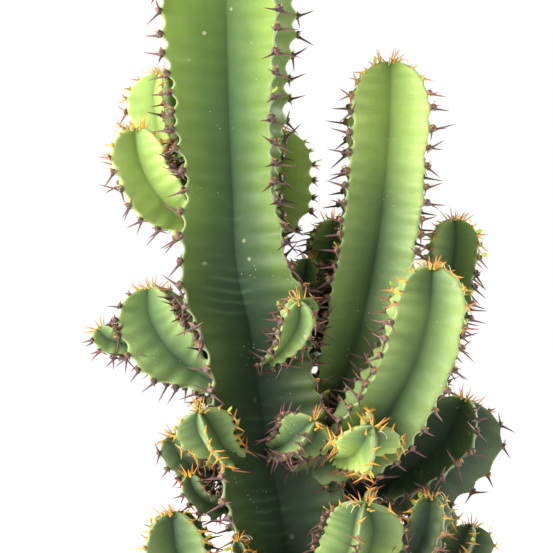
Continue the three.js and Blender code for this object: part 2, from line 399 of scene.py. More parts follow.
    rough = board.math("MULTIPLY_ADD", board.noise(140.0, 3.0), 0.22, 0.40)
    rough = board.math("MULTIPLY_ADD", valley_shade, 0.3, rough)
    rough = board.math("MULTIPLY_ADD", board.math("MAXIMUM", speck, scar), 0.3, rough)
    height = board.math("MULTIPLY", board.noise(1400.0, 2.0), 0.25)
    height = board.math("MULTIPLY_ADD", board.noise(160.0, 3.0), 0.6, height)
    height = board.math("MULTIPLY_ADD", veined, -0.45, height)
    height = board.math("MULTIPLY_ADD", band, 0.35, height)
    height = board.math("MULTIPLY_ADD", scar, -0.6, height)
    board.node("NodeGroupOutput", {"Color": base, "Roughness": rough, "Height": height})
    return group


@dataclass(frozen=True)
class SkinFinish:
    """Waxy green skin of a stem, paler where it is young, with painted shade low on the plant and painted
    light up high.
    """

    name: str
    young: Color
    mature: Color
    old: Color
    crest: Color
    bands: float = 1.0
    veins: float = 1.0
    specks: float = 1.0
    translucence: float = 0.30

    def material(self, pattern: bpy.types.NodeTree) -> bpy.types.Material:
        """Makes the material around the shared rib pattern.

        Args:
            pattern: The rib_skin node group.

        Returns:
            The finished material.
        """
        made, board = blank_material(self.name)
        skin = board.node("ShaderNodeGroup", node_tree=pattern)
        values = {
            "Young": self.young,
            "Mature": self.mature,
            "Old": self.old,
            "Crest": self.crest,
            "Bands": self.bands,
            "Veins": self.veins,
            "Specks": self.specks,
        }
        for key, value in values.items():
            skin.inputs[key].default_value = value
        bump = board.node(
            "ShaderNodeBump",
            {"Height": skin.outputs["Height"], "Strength": 0.35, "Distance": 0.4 * MM},
        )
        shader = board.node(
            "ShaderNodeBsdfPrincipled",
            {
                "Base Color": skin.outputs["Color"],
                "Roughness": skin.outputs["Roughness"],
                "Normal": bump.outputs["Normal"],
                "Subsurface Weight": self.translucence,
                "Subsurface Radius": (0.55, 1.0, 0.22),
                "Subsurface Scale": 3 * MM,
                "Specular IOR Level": 0.26,
            },
        )
        board.node("ShaderNodeOutputMaterial", {"Surface": shader.outputs[0]})
        return made


@dataclass(frozen=True)
class HornFinish:
    """Spines, shields and dried bits: orange when young, mauve brown when old."""

    name: str = "horn"

    def material(self) -> bpy.types.Material:
        """Makes the material.

        Returns:
            The finished material.
        """
        made, board = blank_material(self.name)
        along = board.attribute("along")
        youth = board.attribute("youth")
        tone = board.attribute("tone")
        horn = board.attribute("horn")
        grain = board.noise(700.0, 4.0, 0.65)

        shaft = board.mix(board.step(along, 0.0, 0.45), (0.07, 0.035, 0.035, 1), (0.18, 0.078, 0.07, 1))
        shaft = board.mix(board.step(along, 0.55, 1.0), shaft, (0.115, 0.058, 0.062, 1))
        fresh = board.mix(board.step(along, 0.0, 0.8), (0.72, 0.42, 0.05, 1), (0.78, 0.28, 0.03, 1))
        fresh = board.mix(board.step(along, 0.82, 1.0), fresh, (0.35, 0.09, 0.03, 1))
        red = board.mix(board.step(along, 0.0, 0.9), (0.42, 0.15, 0.07, 1), (0.40, 0.10, 0.07, 1))
        shaft = board.mix(board.step(youth, 0.12, 0.42), shaft, red)
        shaft = board.mix(board.step(youth, 0.45, 0.75), shaft, fresh)

        knob = board.mix(board.step(grain, 0.38, 0.62), (0.035, 0.022, 0.022, 1), (0.20, 0.125, 0.11, 1))
        knob = board.mix(board.step(tone, 0.25, 0.9), knob, (0.16, 0.10, 0.075, 1))
        rust = board.math("MULTIPLY", board.step(board.noise(420.0, 2.0), 0.57, 0.64), 0.75)
        knob = board.mix(rust, knob, (0.45, 0.17, 0.05, 1))
        knob = board.mix(board.step(youth, 0.3, 0.8), knob, (0.50, 0.27, 0.07, 1))

        chip = board.mix(board.step(tone, 0.2, 0.8), (0.62, 0.22, 0.04, 1), (0.66, 0.46, 0.16, 1))
        chip = board.mix(board.step(grain, 0.45, 0.7), chip, (0.24, 0.09, 0.03, 1))
        color = board.mix(board.step(horn, 0.4, 0.6), knob, shaft)
        color = board.mix(board.step(horn, 1.4, 1.6), color, chip)
        worn = board.math("MULTIPLY_ADD", grain, 0.5, 0.75)
        color = board.shaded(color, worn, 0.7)
        bump = board.node("ShaderNodeBump", {"Height": grain, "Strength": 0.5, "Distance": 0.2 * MM})
        shader = board.node(
            "ShaderNodeBsdfPrincipled",
            {
                "Base Color": color,
                "Roughness": board.math("MULTIPLY_ADD", grain, 0.3, 0.42),
                "Normal": bump.outputs["Normal"],
                "Subsurface Weight": 0.12,
                "Subsurface Radius": (1.0, 0.5, 0.25),
                "Subsurface Scale": 1.0 * MM,
            },
        )
        board.node("ShaderNodeOutputMaterial", {"Surface": shader.outputs[0]})
        return made


@dataclass(frozen=True)
class LeafFinish:
    """Tiny yellow-green leaves and papery dried flower stalks."""

    name: str
    inner: Color
    outer: Color
    translucence: float = 0.4

    def material(self) -> bpy.types.Material:
        """Makes the material.

        Returns:
            The finished material.
        """
        made, board = blank_material(self.name)
        grain = board.noise(600.0, 3.0)
        color = board.mix(board.step(board.attribute("along"), 0.0, 1.0), self.inner, self.outer)
        pale = board.math("MULTIPLY_ADD", grain, 0.5, 0.72)
        color = board.shaded(color, pale, 0.6)
        shader = board.node(
            "ShaderNodeBsdfPrincipled",
            {
                "Base Color": color,
                "Roughness": board.math("MULTIPLY_ADD", grain, 0.2, 0.4),
                "Subsurface Weight": self.translucence,
                "Subsurface Radius": (0.8, 1.0, 0.2),
                "Subsurface Scale": 2 * MM,
            },
        )
        board.node("ShaderNodeOutputMaterial", {"Surface": shader.outputs[0]})
        return made


@dataclass(frozen=True)
class ClayFinish:
    """Fired clay with pale lime bloom, darker damp foot and fine pits."""

    name: str = "fired_clay"

    def material(self) -> bpy.types.Material:
        """Makes the material.

        Returns:
            The finished material.
        """
        made, board = blank_material(self.name)
        height = board.node("ShaderNodeSeparateXYZ", {0: board.place()}).outputs["Z"]
        broad = board.noise(14.0, 5.0, 0.6)
        fine = board.noise(420.0, 4.0, 0.6)
        color = board.mix(board.step(broad, 0.35, 0.65), (0.50, 0.205, 0.105, 1), (0.60, 0.275, 0.155, 1))
        damp = board.math("SUBTRACT", 1.0, board.step(height, 0.0, 0.06))
        color = board.mix(board.math("MULTIPLY", damp, 0.45), color, (0.33, 0.125, 0.065, 1))
        bloom = board.math("MULTIPLY", board.step(board.noise(26.0, 6.0, 0.7), 0.52, 0.68), 0.42)
        color = board.mix(bloom, color, (0.72, 0.58, 0.47, 1))
        pitted = board.math("MULTIPLY_ADD", fine, 0.5, 0.75)
        color = board.shaded(color, pitted, 0.6)
        pits = board.math("SUBTRACT", 1.0, board.step(board.cells(260.0), 0.05, 0.16))
        relief = board.math("MULTIPLY_ADD", pits, -0.8, board.math("MULTIPLY", fine, 0.7))
        bump = board.node("ShaderNodeBump", {"Height": relief, "Strength": 0.4, "Distance": 0.35 * MM})
        shader = board.node(
            "ShaderNodeBsdfPrincipled",
            {
                "Base Color": color,
                "Roughness": board.math("MULTIPLY_ADD", broad, 0.15, 0.78),
                "Normal": bump.outputs["Normal"],
            },
        )
        board.node("ShaderNodeOutputMaterial", {"Surface": shader.outputs[0]})
        return made


@dataclass(frozen=True)
class EarthFinish:
    """Crumbly soil or rounded grit, mottled between a dark and a light colour."""

    name: str
    dark: Color
    light: Color
    scale: float
    relief: float

    def material(self) -> bpy.types.Material:
        """Makes the material.

        Returns:
            The finished material.
        """
        made, board = blank_material(self.name)
        crumb = board.noise(self.scale, 6.0, 0.7)
        spread = board.math("ADD", crumb, board.math("MULTIPLY", board.attribute("tone"), 0.45))
        color = board.mix(board.step(spread, 0.35, 0.95), self.dark, self.light)
        bump = board.node(
            "ShaderNodeBump",
            {"Height": crumb, "Strength": 0.8, "Distance": self.relief},
        )
        shader = board.node(
            "ShaderNodeBsdfPrincipled",
            {
                "Base Color": color,
                "Roughness": board.math("MULTIPLY_ADD", crumb, 0.15, 0.8),
                "Normal": bump.outputs["Normal"],
            },
        )
        board.node("ShaderNodeOutputMaterial", {"Surface": shader.outputs[0]})
        return made


# ---- stems ----


@dataclass
class StemLine:
    """Axis and ribs of one stem by distance below its tip.

    below has one distance for each row of the others. centre is the axis, rib the heading of the
    first rib, reach the four crest radii, and valley the valley radius. dome is how far down the
    rounded tip goes.
    """

    below: np.ndarray
    centre: np.ndarray
    rib: np.ndarray
    reach: np.ndarray
    valley: np.ndarray
    dome: float

    @classmethod
    def read(cls, node: str, around: int) -> "StemLine":
        """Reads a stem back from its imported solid.

        The solid is rings of vertices below one tip vertex. Rings are taken from the tip down
        until one has been cut by a neighbour. The first two rings only round the tip off, so the
        line goes from the tip straight to the third.

        Args:
            node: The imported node's name.
            around: How many vertices a whole ring has.

        Returns:
            The stem's line, from the tip down to its last whole ring.
        """
        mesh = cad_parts[node].data
        corners = np.empty(len(mesh.vertices) * 3)
        mesh.vertices.foreach_get("co", corners)
        points, merged = np.unique(corners.reshape(-1, 3), axis=0, return_inverse=True)
        ends = np.empty(len(mesh.edges) * 2, int)
        mesh.edges.foreach_get("vertices", ends)
        near: list[set[int]] = [set() for _ in points]
        for a, b in merged.ravel()[ends].reshape(-1, 2):
            if a != b:
                near[a].add(int(b))
                near[b].add(int(a))
        tips = [k for k in range(len(points)) if len(near[k]) == around]
        tip = max(tips, key=lambda k: points[k, 2])
        level, reached, rings = near[tip], {tip}, []
        while len(level) == around:
            rings.append(points[sorted(level)])
            reached |= level
            level = set().union(*(near[k] for k in level)) - reached
        round_off = 2
        above, first = rings[round_off - 1].mean(0), None
        centres, spokes, valleys = [], [], []
        for ring in rings[round_off:]:
            centre, spoke, valley = cls.ring_facts(ring, above, first)
            above, first = ring.mean(0), spoke[0]
            centres.append(centre)
            spokes.append(spoke)
            valleys.append(valley)
        centre = np.array([points[tip], *centres])
        spoke = np.array([spokes[0], *spokes])
        below = np.concatenate([[0], np.linalg.norm(np.diff(centre, axis=0), axis=1).cumsum()])
        reach = np.linalg.norm(spoke, axis=2)
        valley = np.array([valleys[0], *valleys])
        return cls(below, centre, unit(spoke[:, 0]), reach, valley, float(below[1]))

    @staticmethod
    def ring_facts(
        ring: np.ndarray, above: np.ndarray, first: np.ndarray | None
    ) -> tuple[np.ndarray, np.ndarray, float]:
        """Finds the centre, the four crests and the valley radius of one ring.

        Args:
            ring: The ring's vertices in any order.
            above: The middle of the next ring towards the tip.
            first: The first rib's spoke on that ring, if it is known.

        Returns:
            The centre, the spokes to the crests in turning order, and the valley radius.
        """
        middle = ring.mean(0)
        axis = unit(above - middle)
        side = np.array([1.0, 0.0, 0.0]) if first is None else first
        side = unit(side - axis * (side @ axis))
        up = np.cross(axis, side)
        flat = ring - middle
        turned = ring[np.argsort(np.arctan2(flat @ up, flat @ side))]
        step = len(ring) // RIBS
        radii = np.linalg.norm(turned - middle, axis=1)
        means = [radii[k::step].mean() for k in range(step)]
        crests = turned[int(np.argmax(means)) :: step]
        valleys = turned[int(np.argmin(means)) :: step]
        centre = valleys.mean(0)
        spokes = crests - centre
        if first is not None:
            spokes = np.roll(spokes, -int((unit(spokes) @ first).argmax()), axis=0)
        return centre, spokes, float(np.linalg.norm(valleys - centre, axis=1).mean())

    def rooted(self, parent: "StemLine", neck: float, steps: int = 12) -> None:
        """Carries the line on down to the axis of the stem it grows from, where it is hidden.

        Args:
            parent: The line of the stem it grows from.
            neck: Crest radius at the end over the crest radius where the line ended.
            steps: How many points are added.
        """
        heel = self.centre[-1]
        down = unit(self.centre[-1] - self.centre[-2])
        away = float(np.linalg.norm((parent.nearest(heel) - heel)[:2]))
        drop = min(-down[2] / max(float(np.hypot(*down[:2])), 0.2), 1.2) * away * 0.5
        goal = parent.nearest(heel - np.array([0.0, 0.0, max(drop, 0.1 * away)]))
        bend = heel + down * 0.45 * away
        share = np.linspace(0, 1, steps + 1)[1:, None]
        path = heel * (1 - share) ** 2 + 2 * bend * share * (1 - share) + goal * share**2
        shrink = 1 - (1 - neck) * share * (2 - share)
        whole = np.concatenate([self.centre, path])
        ribs = list(self.rib)
        for above, below in zip(whole[-steps - 1 :], whole[-steps:]):
            way = unit(below - above)
            ribs.append(unit(ribs[-1] - way * (ribs[-1] @ way)))
        self.centre = whole
        self.rib = np.array(ribs)
        self.reach = np.concatenate([self.reach, self.reach[-1] * shrink])
        self.valley = np.concatenate([self.valley, self.valley[-1] * shrink[:, 0]])
        gaps = np.linalg.norm(np.diff(whole, axis=0), axis=1)
        self.below = np.concatenate([[0], gaps.cumsum()])

    def nearest(self, point: np.ndarray) -> np.ndarray:
        """Gives the point of the axis at the same height as a point."""
        order = np.argsort(self.centre[:, 2])
        rows = self.centre[order]
        return np.array([np.interp(point[2], rows[:, 2], rows[:, k]) for k in range(3)])

    def frames(self, below: np.ndarray) -> tuple[np.ndarray, np.ndarray, np.ndarray]:
        """Gives the axis point, the first rib's heading and the way to the tip.

        Args:
            below: Distances below the tip.

        Returns:
            Three arrays with one row for each distance.
        """
        centre = flowing(self.below, self.centre, below)
        nudge = 0.5 * MM
        higher = flowing(self.below, self.centre, np.maximum(below - nudge, 0))
        lower = flowing(self.below, self.centre, np.minimum(below + nudge, self.below[-1]))
        way = unit(higher - lower)
        rib = flowing(self.below, self.rib, below)
        rib = unit(rib - way * (rib * way).sum(axis=1, keepdims=True))
        return centre, rib, way

    def radii(self, below: np.ndarray) -> tuple[np.ndarray, np.ndarray]:
        """Gives the four crest radii and the valley radius, with the tip rounded off.

        Args:
            below: Distances below the tip.

        Returns:
            Crest radii as rows of four, and valley radii.
        """
        rounding = np.sqrt(np.clip(1 - (1 - np.clip(below / self.dome, 0, 1)) ** 2, 0, 1))
        reach = flowing(self.below, self.reach, below) * rounding[:, None]
        valley = flowing(self.below, self.valley[:, None], below)[:, 0] * rounding
        return reach, valley


@dataclass
class Rib:
    """Where the shields stand on one rib, how big each is, and how far its spines are turned."""

    below: np.ndarray
    size: np.ndarray
    turn: np.ndarray


@dataclass(frozen=True)
class Habit:
    """How one stem differs from its fellows.

    Its first value is added to the age of its skin: partly real age, and partly painted shade on
    stems standing in shadow and painted light on stems in the light. Its spines are young as far
    below the tip as youth_length. stalks is how many dried flower stalks stand on its tip.
    """

    shade_and_wear: float = 0.0
    youth_length: float = 24 * MM
    stalks: int = 3


@dataclass
class Stem:
    """One ribbed stem with its skin, shields and spines.

    half_steps is how many facets run from a valley to a crest, and ring_gap is how far apart the
    skin's rings are. face_hollow bends the faces in between the crests. The skin is all old below
    the old height and all young above the young height; this darker bottom and paler top are partly
    real age and partly painted shade low down and painted light up high.
    """

    node: str
    slot: Slot
    line: StemLine
    habit: Habit
    seed: int
    half_steps: int = 9
    ring_gap: float = 1.25 * MM
    crest_edge: float = 1.0 * MM
    face_hollow: float = 1.45
    old_and_shaded_height: float = 0.225
    young_and_lit_height: float = 0.54
    ribs: list[Rib] = field(default_factory=list)

    def __post_init__(self) -> None:
        """Sizes the teeth and spines to the stem and places the shields."""
        self.rng = np.random.default_rng(self.seed)
        self.full = float(self.line.reach.max())
        self.length = float(self.line.below[-1])
        self.tooth_gap = 6.3 * MM + 0.09 * self.full
        self.tooth_height = 1.3 * MM + 0.03 * self.full
        self.spine_length = 8.0 * MM + 0.045 * self.full
        self.ribs = [self.place_shields(k) for k in range(RIBS)]
        self.phase = self.rng.uniform(0, 6, (RIBS, 4))

    def place_shields(self, rib: int) -> Rib:
        """Spaces the shields along one rib, closer together near the tip.

        Args:
            rib: The rib's number.

        Returns:
            The shields' distances below the tip, sizes and turns.
        """
        at = (2.2 + 1.1 * (rib % 2) + self.rng.uniform(0, 0.8)) * MM
        places = []
        while at < self.length:
            places.append(at)
            grown = 0.50 + 0.50 * min(1.0, at / (20 * MM))
            at += self.tooth_gap * grown * self.rng.uniform(0.80, 1.20)
        below = np.array(places)
        size = self.rng.uniform(0.82, 1.16, len(below)) * (0.55 + 0.45 * ease(below, 0, 22 * MM))
        turn = self.rng.normal(0, 0.5, len(below))
        return Rib(below, size, turn)

    def age_and_shade_at(self, below: np.ndarray, height: np.ndarray) -> np.ndarray:
        """Gives how old the skin is, from 0 to 1, with painted shade low on the plant and painted light up
        high.

        Args:
            below: Distance below the tip.
            height: Height above the ground.

        Returns:
            The age of the skin, with painted shade and light in it.
        """
        # Painted shade and light: skin counts as older and darker low down and younger and paler high up,
        # partly for real age and partly for how the light falls.
        low = 1 - ease(height, self.old_and_shaded_height, self.young_and_lit_height)
        grown = 0.80 * low + 0.22 * ease(below, 5 * MM, 120 * MM)
        # Each stem's own painted shade and light, with its real wear, added to its age.
        return np.clip(grown + self.habit.shade_and_wear * ease(below, -8 * MM, 30 * MM), 0, 1)

    def crest_line(self, rib: int, below: np.ndarray) -> tuple[np.ndarray, ...]:
        """Gives how the crest of one rib stands out and sways, tooth by tooth.

        Args:
            rib: The rib's number.
            below: Distances below the tip.

        Returns:
            The turn counted in teeth, the wave from -1 to 1, the height that is added to the
            crest, and its sideways sway.
        """
        marks = self.ribs[rib]
        turn = np.interp(below, marks.below, np.arange(len(marks.below)))
        wave = np.cos(2 * math.pi * turn)
        lobe = np.sign(wave) * np.abs(wave) ** 0.75
        grown = 0.30 + 0.70 * ease(below, 0, self.line.dome)
        size = np.interp(below, marks.below, marks.size)
        phase = self.phase[rib]
        slow = 0.5 * MM * np.sin(below * 150 + phase[0]) * grown
        rise = self.tooth_height * size * grown * (0.5 * lobe - 0.1) + slow
        sway = 0.55 * np.sin(below * 420 + phase[1]) + 0.45 * np.sin(below * 187 + phase[2])
        return turn, lobe, rise, sway * 0.95 * MM * grown

    def rings_below(self) -> np.ndarray:
        """Spaces the skin's rings: by angle over the rounded tip, then evenly."""
        dome = self.line.dome
        dome_rings = max(8, int(dome / self.ring_gap * 1.3))
        angle = np.linspace(0, math.pi / 2, dome_rings)
        rounded = dome * (1 - np.cos(angle))
        body = np.arange(dome + self.ring_gap, self.length, self.ring_gap)
        return np.concatenate([rounded, body, [self.length, self.length]])

    def build_skin(self, materials: dict[Slot, bpy.types.Material]) -> bpy.types.Object:
        """Builds the fine skin over the whole stem.

        Args:
            materials: Finished materials by slot.

        Returns:
            The skin piece.
        """
        below = self.rings_below()
        rows = len(below)
        centre, rib, way = self.line.frames(below)
        reach, valley = self.line.radii(below)
        side = np.cross(way, rib)
        spokes = [rib, side, -rib, -side]
        shares = (1 - np.cos(np.linspace(0, math.pi, self.half_steps + 1))) / 2
        columns = 2 * self.half_steps * RIBS + 1
        places = np.zeros((rows, columns, 3))
        across = np.zeros((rows, columns))
        turns = np.zeros((rows, columns))
        rounding = ease(below, 0, self.line.dome)
        for k in range(RIBS):
            out_way, over_way = spokes[k], spokes[(k + 1) % RIBS]
            turn, lobe, rise, sway = self.crest_line(k, below)
            phase = self.phase[k]
            corner = valley * math.sqrt(0.5)
            tall = np.maximum(reach[:, k] + rise, corner)
            edge = np.minimum(self.crest_edge * (1.15 + 0.35 * lobe), corner * 0.6)
            for step in range(2 * self.half_steps):
                near = step <= self.half_steps
                share = shares[step] if near else shares[2 * self.half_steps - step]
                hand = -1.0 if near else 1.0
                out = corner + (tall - corner) * share
                start = 1 - 0.9 * edge / np.maximum(tall - corner, 1e-9)
                cap = np.sqrt(np.clip(1 - (np.clip(share - start, 0, None) / (1 - start)) ** 2, 0, 1))
                swell = share * (1 - share) * 4 * np.sin(below * 88 + phase[3] + hand)
                ripple = lobe * share**5 * 0.24 + np.sin(turn * math.pi + phase[1]) * share**3 * 0.12
                half = edge * cap + (corner - edge) * (1 - share) ** self.face_hollow
                half = half + (0.4 * swell + ripple) * MM * rounding * cap * (1 if share < 1 else 0)
                over = np.maximum(half, 0) * hand + sway * share**2.5
                column = k * 2 * self.half_steps + step
                places[:, column] = centre + out_way * out[:, None] + over_way * over[:, None]
                across[:, column] = share
                turns[:, column] = turn
        places[:, -1], across[:, -1], turns[:, -1] = places[:, 0], across[:, 0], turns[:, 0]
        places[0], places[-1] = centre[0], centre[-1]
        low = np.repeat(below[:, None], columns, axis=1)
        facts = {
            "across": across,
            "tooth_turn": turns,
            "below_tip": low,
            # age: real age with painted shade low down and painted light up high.
            "age": self.age_and_shade_at(low, places[:, :, 2]),
        }
        piece = rolled_sheet(f"{self.node}_skin", places, facts)
        piece.data.materials.append(materials[self.slot])
        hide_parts(self.node)
        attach(piece, BODY)
        LOG.info("%s: %d faces", piece.name, len(piece.data.polygons))
        return piece

    def shield_frames(self, rib: int) -> tuple[np.ndarray, np.ndarray, np.ndarray, np.ndarray]:
        """Gives the foot and the out, over and up ways of each shield on a rib.

        Args:
            rib: The rib's number.

        Returns:
            Four arrays with one row for each shield.
        """
        below = self.ribs[rib].below
        centre, first, way = self.line.frames(below)
        reach, _ = self.line.radii(below)
        side = np.cross(way, first)
        spoke = (first, side, -first, -side)[rib]
        lean = np.clip(1 - below / self.line.dome, 0, 1)[:, None]
        out = unit(spoke * np.sqrt(1 - lean**2) + way * lean)
        up = unit(way - out * (way * out).sum(axis=1, keepdims=True) + 1e-6)
        over = np.cross(up, out)
        _, _, rise, sway = self.crest_line(rib, below)
        sideways = (side, -first, -side, first)[rib]
        foot = centre + spoke * (reach[:, rib] + rise)[:, None] + sideways * sway[:, None]
        return foot, out, over, up


@dataclass
class Shape:
    """A small form modelled once. along runs from 0 at its foot to 1 at its end."""

    vertices: np.ndarray
    faces: list[tuple[int, ...]]
    along: np.ndarray

    @classmethod
    def from_piece(cls, piece: bpy.types.Object) -> "Shape":
        """Takes the form out of a modelled object and removes the object.

        Args:
            piece: The modelled object, running from 0 to 1 along its Z.

        Returns:
            The form.
        """
        vertices = np.array([vertex.co[:] for vertex in piece.data.vertices])
        faces = [tuple(face.vertices) for face in piece.data.polygons]
        bpy.data.objects.remove(piece)
        span = np.ptp(vertices[:, 2])
        return cls(vertices, faces, (vertices[:, 2] - vertices[:, 2].min()) / span)


def spine_shape(sides: int = 6) -> Shape:
    """Models one spine: a stout foot that narrows to a long fine point, slightly curved.

    Args:
        sides: Faces around it.

    Returns:
        A spine one unit long.
    """
    deselect()
    bpy.ops.mesh.primitive_circle_add(vertices=sides, radius=0.135, fill_type="NGON")
    piece = bpy.context.object
    bpy.ops.object.mode_set(mode="EDIT")
    stages = ((0.14, 0.56, 0.0), (0.26, 0.72, 0.012), (0.32, 0.62, 0.03), (0.28, 0.12, 0.05))
    for rise, narrow, lean in stages:
        bpy.ops.mesh.extrude_region_move(TRANSFORM_OT_translate={"value": (lean, 0, rise)})
        bpy.ops.transform.resize(value=(narrow, narrow, 1))
    bpy.ops.object.mode_set(mode="OBJECT")
    return Shape.from_piece(piece)


def knob_shape() -> Shape:
    """Models one shield: a low lumpy knob with a flattened foot.

    Returns:
        A knob about one unit across.
    """
    deselect()
    bpy.ops.mesh.primitive_uv_sphere_add(segments=8, ring_count=5, radius=0.5)
    piece = bpy.context.object
    bpy.ops.object.mode_set(mode="EDIT")
    bpy.ops.transform.resize(value=(1.0, 0.86, 0.78))
    bpy.ops.object.mode_set(mode="OBJECT")
    for vertex in piece.data.vertices:
        bump = noise.noise(vertex.co * 3.1 + Vector((1.7, 0.3, 5.1)))
        vertex.co *= 1 + 0.38 * bump
    return Shape.from_piece(piece)


def chip_shape() -> Shape:
    """Models one dry flake left by a flower.

    Returns:
        A flake about one unit long.
    """
    deselect()
    bpy.ops.mesh.primitive_cone_add(vertices=4, radius1=0.34, radius2=0.12, depth=1)
    piece = bpy.context.object
    bpy.ops.object.mode_set(mode="EDIT")
    bpy.ops.transform.resize(value=(1.0, 0.55, 1.0))
    bpy.ops.object.mode_set(mode="OBJECT")
    return Shape.from_piece(piece)


def stalk_shape(sides: int = 5, joints: int = 7) -> Shape:
    """Models one dried flower stalk: a thin papery strip that curls over.

    Args:
        sides: Faces around it.
        joints: Bends along it.

    Returns:
        A curled stalk about one unit tall.
    """
    deselect()
    bpy.ops.mesh.primitive_circle_add(vertices=sides, radius=0.075, fill_type="NGON")
    piece = bpy.context.object
    bpy.ops.object.mode_set(mode="EDIT")
    for joint in range(joints):
        turn = 0.42 * joint
        reach = (0.2 * math.sin(turn), 0.0, 0.2 * math.cos(turn))
        bpy.ops.mesh.extrude_region_move(TRANSFORM_OT_translate={"value": reach})
        bpy.ops.transform.resize(value=(0.9, 0.86, 1))
    bpy.ops.object.mode_set(mode="OBJECT")
    shape = Shape.from_piece(piece)
    shape.along = np.arange(len(shape.vertices)) / len(shape.vertices)
    return shape


def leaf_shape() -> Shape:
    """Models one leaflet: an oval blade with a short foot, cupped and bent back.

    Returns:
        A leaflet one unit long with a little thickness.
    """
    deselect()
    bpy.ops.mesh.primitive_grid_add(x_subdivisions=4, y_subdivisions=6, size=1)
    piece = bpy.context.object
    for vertex in piece.data.vertices:
        x, t = vertex.co.x * 2, vertex.co.y + 0.5
        width = 0.06 + 0.27 * math.sin(math.pi * min(1, t * 0.97 + 0.02)) ** 0.8
        vertex.co = Vector((x * width, 0.16 * t * t - 0.10 * x * x * t, t))
    solid = piece.modifiers.new("blade", "SOLIDIFY")
    solid.thickness = 0.05
    take(piece)
    bpy.ops.object.modifier_apply(modifier=solid.name)
    return Shape.from_piece(piece)


class Crowd:
    """Many copies of small forms, gathered into one piece."""

    def __init__(self) -> None:
        """Starts empty."""
        self.vertices: list[np.ndarray] = []
        self.faces: list[tuple[int, ...]] = []
        self.facts: dict[str, list[np.ndarray]] = {}
        self.count = 0

    def add(self, shape: Shape, place: Matrix, **facts: float) -> None:
        """Adds one copy of a form.

        Args:
            shape: The form to copy.
            place: Where it goes.
            **facts: One value for each attribute, the same all over the copy.
        """
        turned = np.array(place.to_3x3())
        self.vertices.append(shape.vertices @ turned.T + np.array(place.translation))
        self.faces.extend(tuple(k + self.count for k in face) for face in shape.faces)
        self.facts.setdefault("along", []).append(shape.along)
        for name, value in facts.items():
            self.facts.setdefault(name, []).append(np.full(len(shape.vertices), value))
        self.count += len(shape.vertices)

    def finish(self, name: str, material: bpy.types.Material, slot: Slot) -> None:
        """Makes the gathered copies one piece.

        Args:
            name: The piece's name.
            material: Its material.
            slot: The record's slot. Not used.
        """
        mesh = bpy.data.meshes.new(name)
        mesh.from_pydata(np.concatenate(self.vertices).tolist(), [], self.faces)
        for fact, values in self.facts.items():
            write_attribute(mesh, fact, np.concatenate(values))
        piece = bpy.data.objects.new(name, mesh)
        bpy.context.scene.collection.objects.link(piece)
        mesh.materials.append(material)
        take(piece)
        bpy.ops.object.shade_smooth_by_angle(angle=math.radians(50))
        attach(piece, BODY)
        LOG.info("%s: %d faces", name, len(mesh.polygons))


def stand(foot: np.ndarray, way: np.ndarray, hint: np.ndarray, size: tuple[float, float, float]) -> Matrix:
    """Gives the place of a form whose Z runs along a way.

    Args:
        foot: Where its origin goes.
        way: Where its Z points.
        hint: Roughly where its X points.
        size: Its scale along X, Y and Z.

    Returns:
        The place as a matrix.
    """
    z_way = unit(way)
    x_way = unit(hint - z_way * (hint @ z_way))
    y_way = np.cross(z_way, x_way)
    place = np.eye(4)
    place[:3, 0], place[:3, 1], place[:3, 2] = x_way * size[0], y_way * size[1], z_way * size[2]
    place[:3, 3] = foot
    return Matrix(place.tolist())


